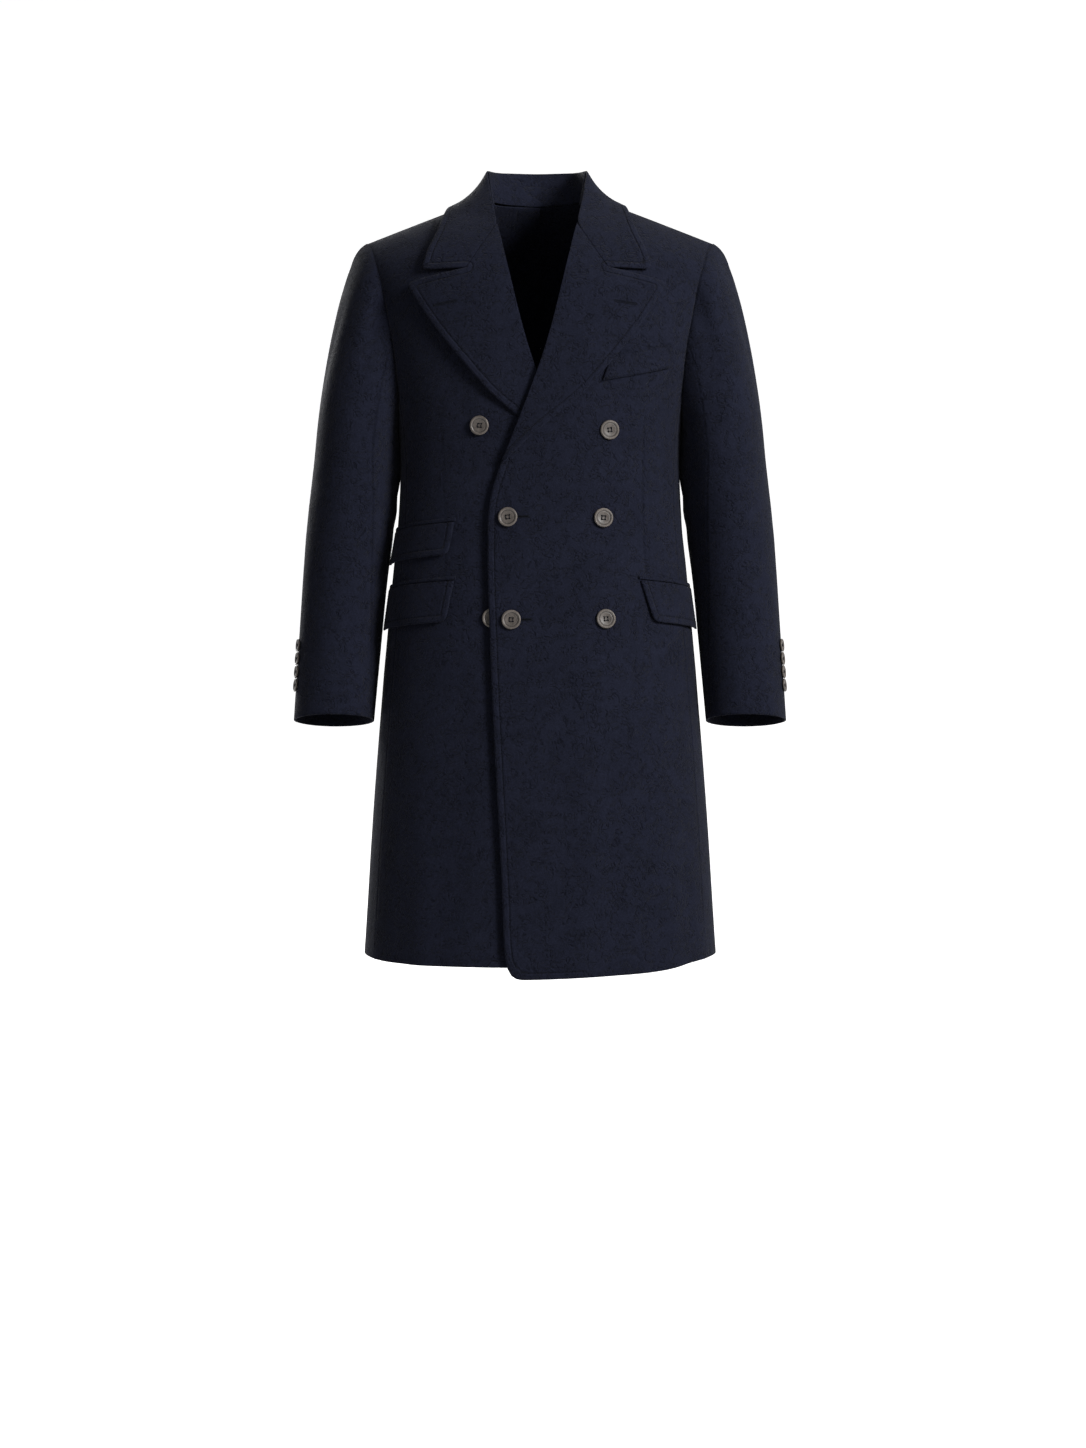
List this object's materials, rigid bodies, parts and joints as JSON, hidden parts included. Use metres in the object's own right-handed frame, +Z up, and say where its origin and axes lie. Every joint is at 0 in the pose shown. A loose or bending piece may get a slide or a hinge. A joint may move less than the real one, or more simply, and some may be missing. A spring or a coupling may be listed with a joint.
{
  "type": "wool overcoat",
  "caption": "Hollow worn double-breasted wool overcoat with peak lapels, flapped pockets, two-piece sleeves and horn buttons.",
  "frame": {"origin": "where the wearer holds the coat up: on its centre plane, between the shoulders, at the height where the neck meets them", "axes": "+Z up, -Y the way the wearer faces, +X to the wearer's left"},
  "size_m": [0.6576, 0.3097, 1.0785],
  "materials": {
    "wool": "matt felted navy melton wool with a short nap",
    "horn": "satin polished brown-grey horn"
  },
  "bodies": {
    "root": {"back_left": "wool", "back_right": "wool", "breast_welt": "wool", "button_left_low": "horn", "button_left_middle": "horn", "button_left_top": "horn", "button_right_low": "horn", "button_right_middle": "horn", "button_right_top": "horn", "button_underlap": "horn", "collar_fall": "wool", "collar_stand": "wool", "cuff_button_left_1": "horn", "cuff_button_left_2": "horn", "cuff_button_left_3": "horn", "cuff_button_left_4": "horn", "cuff_button_right_1": "horn", "cuff_button_right_2": "horn", "cuff_button_right_3": "horn", "cuff_button_right_4": "horn", "flap_left": "wool", "flap_right": "wool", "flap_ticket": "wool", "front_left": "wool", "front_right": "wool", "jet_left": "wool", "jet_right": "wool", "jet_ticket": "wool", "lapel_left": "wool", "lapel_right": "wool", "side_left": "wool", "side_right": "wool", "sleeve_top_left": "wool", "sleeve_top_right": "wool", "sleeve_under_left": "wool", "sleeve_under_right": "wool"}
  },
  "joints": []
}
